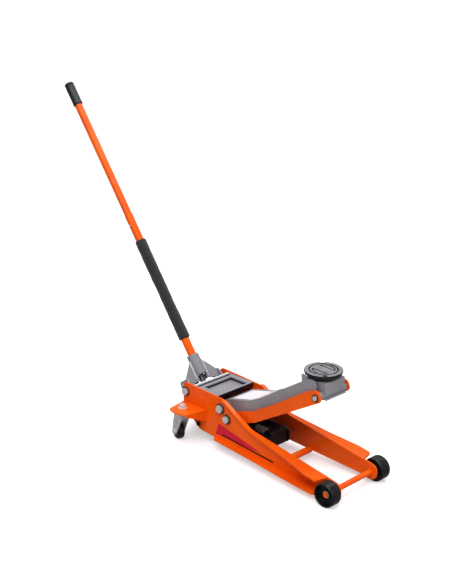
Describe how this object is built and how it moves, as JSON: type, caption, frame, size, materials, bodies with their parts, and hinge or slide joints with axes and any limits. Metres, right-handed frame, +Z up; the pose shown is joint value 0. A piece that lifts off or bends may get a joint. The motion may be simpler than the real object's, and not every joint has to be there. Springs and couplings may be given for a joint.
{
  "type": "trolley jack",
  "caption": "Low-profile hydraulic trolley jack with a parallelogram lift arm, level swivelling saddle, tool tray, casters and a two-piece pump handle.",
  "frame": {"origin": "middle of the bounding box in X and Y, on the floor", "axes": "+X towards the nose, +Y to the jack's left, +Z up"},
  "size_m": [1.3928, 0.3546, 1.1053],
  "materials": {
    "orange_paint": "glossy sprayed enamel",
    "grey_paint": "satin sprayed enamel",
    "black_paint": "semi-gloss enamel on cast and machined steel",
    "zinc": "bright zinc plating",
    "polished_steel": "ground and polished",
    "dark_steel": "blackened steel",
    "black_wheel": "moulded nylon, lightly scuffed",
    "saddle_rubber": "moulded grey rubber",
    "foam": "closed-cell foam",
    "cap_plastic": "moulded cap"
  },
  "bodies": {
    "frame": {"right_side_plate": "orange_paint", "left_side_plate": "orange_paint", "right_caster_bracket": "orange_paint", "left_caster_bracket": "orange_paint", "front_axle": "orange_paint", "cross_tube": "orange_paint", "rear_tie_rod": "dark_steel", "tool_tray": "grey_paint", "tray_screws": "orange_paint", "arm_pivot_shaft": "polished_steel", "arm_pivot_nuts": "zinc", "link_bolts": "zinc", "yoke_bolts": "zinc", "wheel_spacers": "zinc", "axle_clips": "zinc", "caster_races": "zinc", "caster_nuts": "zinc", "pump_block": "black_paint", "tank_tube": "black_paint", "gland_nut": "black_paint", "pump_barrels": "zinc", "block_plugs": "zinc", "block_spacers": "dark_steel", "plunger_springs": "zinc"},
    "right_wheel": {"right_front_wheel": "black_wheel"},
    "left_wheel": {"left_front_wheel": "black_wheel"},
    "right_caster": {"right_caster_fork": "zinc", "caster_axles_right": "zinc"},
    "left_caster": {"left_caster_fork": "zinc", "caster_axles_left": "zinc"},
    "right_caster_roll": {"right_caster_wheel": "black_wheel"},
    "left_caster_roll": {"left_caster_wheel": "black_wheel"},
    "arm": {"lift_arm": "grey_paint", "arm_crank": "grey_paint", "arm_tip_pin": "grey_paint"},
    "links": {"right_link_bar": "orange_paint", "left_link_bar": "orange_paint"},
    "bracket": {"saddle_bracket": "grey_paint", "link_tip_pins": "polished_steel", "link_tip_clips": "dark_steel"},
    "saddle": {"saddle_cup": "black_paint", "saddle_pad": "saddle_rubber"},
    "drag": {"drag_links": "black_paint", "drag_pin": "dark_steel"},
    "ram": {"ram_rod": "polished_steel", "ram_crosshead": "black_paint"},
    "yoke": {"handle_yoke": "grey_paint", "roller_pin": "polished_steel"},
    "roller": {"pump_roller": "dark_steel"},
    "plungers": {"pump_plungers": "polished_steel"},
    "handle": {"handle_sleeve": "dark_steel", "clamp_screw": "zinc", "handle_lower_tube": "orange_paint", "handle_upper_tube": "orange_paint", "foam_grip": "foam", "end_cap": "cap_plastic", "release_knuckle": "polished_steel"},
    "button": {"snap_button": "zinc"},
    "release": {"release_spindle": "polished_steel"}
  },
  "joints": [
    {"name": "arm_lift", "type": "hinge", "parent": "frame", "child": "arm", "pos_m": [0.17371, 0, 0.147], "axis": [0, -1, 0], "range_deg": [-40, 27]},
    {"name": "link_swing", "type": "hinge", "parent": "frame", "child": "links", "pos_m": [0.20371, 0, 0.119], "axis": [0, -1, 0], "range_deg": [-40, 27]},
    {"name": "saddle_level", "type": "hinge", "parent": "arm", "child": "bracket", "pos_m": [0.53011, 0, 0.3286], "axis": [0, -1, 0], "range_deg": [-27, 40]},
    {"name": "saddle_turn", "type": "hinge", "parent": "bracket", "child": "saddle", "pos_m": [0.53011, 0, 0.35], "axis": [0, 0, 1], "continuous": true},
    {"name": "drag_swing", "type": "hinge", "parent": "arm", "child": "drag", "pos_m": [0.18186, 0, 0.07546], "axis": [0, -1, 0], "range_deg": [-27, 40]},
    {"name": "ram_stroke", "type": "slide", "parent": "frame", "child": "ram", "axis": [1, 0, 0], "range_m": [-0.0495, 0.0335]},
    {"name": "handle_tilt", "type": "hinge", "parent": "frame", "child": "yoke", "pos_m": [0.01071, 0, 0.158], "axis": [0, -1, 0], "range_deg": [-25, 40]},
    {"name": "roller_spin", "type": "hinge", "parent": "yoke", "child": "roller", "pos_m": [-0.01829, 0, 0.1686], "axis": [0, 1, 0], "continuous": true},
    {"name": "plunger_stroke", "type": "slide", "parent": "frame", "child": "plungers", "axis": [0, 0, 1], "range_m": [-0.0202, 0.0127], "deforming": ["plunger_springs"]},
    {"name": "handle_twist", "type": "hinge", "parent": "yoke", "child": "handle", "pos_m": [0.01071, 0, 0.158], "axis": [-0.5948, 0, 0.8039], "range_deg": [0, 90]},
    {"name": "release_turn", "type": "hinge", "parent": "frame", "child": "release", "pos_m": [0.01071, 0, 0.158], "axis": [-0.6428, 0, 0.766], "range_deg": [0, 90]},
    {"name": "button_push", "type": "slide", "parent": "handle", "child": "button", "axis": [0, 1, 0], "range_m": [0, 0.004], "stiffness_N_per_m": 900, "springref_m": -0.001},
    {"name": "right_wheel_spin", "type": "hinge", "parent": "frame", "child": "right_wheel", "pos_m": [0.65871, -0.117, 0.038], "axis": [0, 1, 0], "continuous": true},
    {"name": "left_wheel_spin", "type": "hinge", "parent": "frame", "child": "left_wheel", "pos_m": [0.65871, 0.117, 0.038], "axis": [0, 1, 0], "continuous": true},
    {"name": "right_caster_swivel", "type": "hinge", "parent": "frame", "child": "right_caster", "pos_m": [0.04071, -0.133, 0.11], "axis": [0, 0, 1], "continuous": true},
    {"name": "left_caster_swivel", "type": "hinge", "parent": "frame", "child": "left_caster", "pos_m": [0.04071, 0.133, 0.11], "axis": [0, 0, 1], "continuous": true},
    {"name": "right_caster_spin", "type": "hinge", "parent": "right_caster", "child": "right_caster_roll", "pos_m": [0.01077, -0.12498, 0.028], "axis": [0.2588, 0.9659, 0], "continuous": true},
    {"name": "left_caster_spin", "type": "hinge", "parent": "left_caster", "child": "left_caster_roll", "pos_m": [0.01077, 0.12498, 0.028], "axis": [0.2588, -0.9659, 0], "continuous": true}
  ],
  "couplings": [
    {"joint": "link_swing", "follows": "arm_lift", "ratio": 1},
    {"joint": "saddle_level", "follows": "arm_lift", "ratio": -1},
    {"joint": "drag_swing", "follows": "arm_lift", "ratio": -1},
    {"joint": "ram_stroke", "follows": "arm_lift", "m_per_rad": 0.0682},
    {"joint": "plunger_stroke", "follows": "handle_tilt", "m_per_rad": -0.028648},
    {"joint": "release_turn", "follows": "handle_twist", "ratio": 1}
  ]
}
